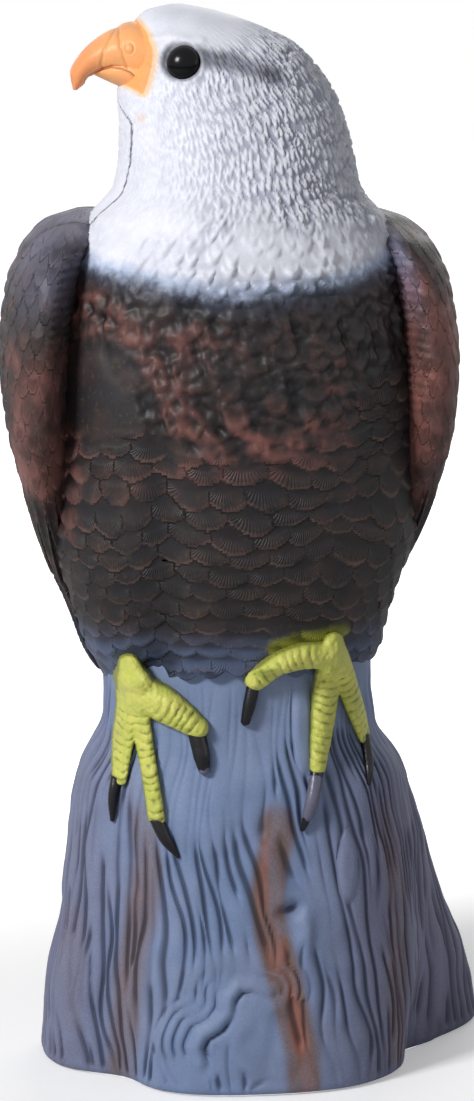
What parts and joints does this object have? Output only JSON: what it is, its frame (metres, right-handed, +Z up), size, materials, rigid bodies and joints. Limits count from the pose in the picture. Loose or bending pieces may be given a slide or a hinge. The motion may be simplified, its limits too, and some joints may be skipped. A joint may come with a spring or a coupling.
{
  "type": "eagle decoy",
  "caption": "Hollow moulded eagle figure perched on a tree stump, garden bird scarer, with glossy eyes and a push-in ballast plug in its flat base.",
  "frame": {"origin": "on the ground under the stump, in the plane its flat underside rests on, midway between the wings to within 2 mm", "axes": "+Z up; -Y the way the breast and toes face; -X the way the turned head and beak point"},
  "size_m": [0.1891, 0.1237, 0.4],
  "materials": {
    "shell": "slate-blue moulding, sprayed white, brown, yellow and orange, with a satin sheen",
    "eye": "glossy black",
    "washer": "natural white, unpainted",
    "plug": "black, unpainted"
  },
  "bodies": {
    "figure": {"front_shell": "shell", "rear_shell": "shell", "left_eye": "eye", "right_eye": "eye", "left_eye_washer": "washer", "right_eye_washer": "washer"},
    "plug": {"fill_plug": "plug"}
  },
  "joints": [
    {"name": "plug_slide", "type": "slide", "parent": "figure", "child": "plug", "axis": [0, 0, -1], "range_m": [0, 0.03]}
  ]
}
